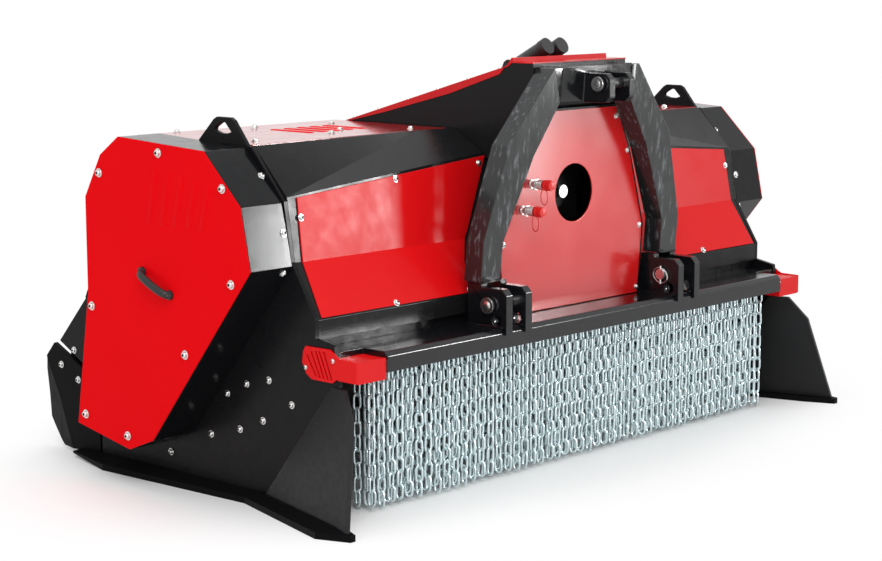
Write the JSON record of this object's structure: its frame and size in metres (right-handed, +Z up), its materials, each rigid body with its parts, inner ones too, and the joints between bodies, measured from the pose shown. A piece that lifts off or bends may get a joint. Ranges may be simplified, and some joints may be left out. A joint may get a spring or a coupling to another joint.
{
  "type": "tractor stone crusher",
  "caption": "Three-point mounted stone crusher: enclosed toothed rotor, skids, chain curtain, mast with clevises, end drive casings and a hinged rear hood on cylinders.",
  "frame": {"origin": "on the floor, under the centre of the bounding box", "axes": "+X to the side across the machine, +Y rearward away from the tractor, +Z up"},
  "size_m": [2.744, 1.645, 1.4115],
  "materials": {
    "black_paint": "gloss",
    "black_plastic": "matte",
    "bright_steel": "satin",
    "cap_plastic": "gloss",
    "carbide_steel": "matte",
    "galvanized": "satin",
    "red_paint": "gloss",
    "wear_steel": "satin"
  },
  "bodies": {
    "housing": {"side_plate_left": "black_paint", "side_plate_right": "black_paint", "wings": "black_paint", "skids": "wear_steel", "drive_casings": "black_paint", "end_covers": "red_paint", "cover_handles": "black_plastic", "deck": "black_paint", "deck_covers": "red_paint", "lifting_eyes": "black_paint", "tower": "black_paint", "tower_cover": "red_paint", "centre_panel": "red_paint", "centre_frame": "black_paint", "front_frames": "black_paint", "front_panels": "red_paint", "shoulders": "black_paint", "mast_leg_left": "black_paint", "mast_leg_right": "black_paint", "mast_head": "black_paint", "top_link_clevis": "black_paint", "lower_clevises": "black_paint", "hitch_pins": "bright_steel", "front_beam": "black_paint", "apron": "black_paint", "beam_brackets": "red_paint", "chamber_shell": "wear_steel", "rear_cheeks": "black_paint", "hinge_shaft_and_hangers": "wear_steel", "gearbox": "wear_steel", "hydraulic_couplers": "bright_steel", "coupler_caps": "cap_plastic", "cylinder_brackets": "black_paint", "chain_row_front": "galvanized", "chain_row_middle": "galvanized", "chain_row_rear": "galvanized"},
    "rotor": {"rotor": "carbide_steel"},
    "input_shaft": {"input_shaft": "bright_steel"},
    "rear_hood": {"rear_hood": "black_paint", "hood_lug_pin": "bright_steel"},
    "cylinder_barrels": {"cylinder_barrels": "black_paint"},
    "cylinder_rods": {"cylinder_rods": "bright_steel"}
  },
  "joints": [
    {"name": "rotor_spin", "type": "hinge", "parent": "housing", "child": "rotor", "pos_m": [0, 0.1075, 0.33], "axis": [1, 0, 0], "continuous": true},
    {"name": "input_shaft_spin", "type": "hinge", "parent": "housing", "child": "input_shaft", "pos_m": [0, -0.5225, 0.896], "axis": [0, 1, 0], "continuous": true},
    {"name": "hood_hinge", "type": "hinge", "parent": "housing", "child": "rear_hood", "pos_m": [0, 0.2645, 1.054], "axis": [1, 0, 0], "range_deg": [0, 35]},
    {"name": "cylinder_tilt", "type": "hinge", "parent": "housing", "child": "cylinder_barrels", "pos_m": [0, -0.36045, 1.31484], "axis": [1, 0, 0], "range_deg": [-3, 3]},
    {"name": "rod_slide", "type": "slide", "parent": "cylinder_barrels", "child": "cylinder_rods", "axis": [0, 0.8803, -0.4744], "range_m": [-0.005, 0.05]}
  ],
  "couplings": [
    {"joint": "input_shaft_spin", "follows": "rotor_spin", "ratio": 1.6},
    {"joint": "cylinder_tilt", "follows": "hood_hinge", "ratio": -0.00722},
    {"joint": "rod_slide", "follows": "hood_hinge", "m_per_rad": 0.06906}
  ]
}
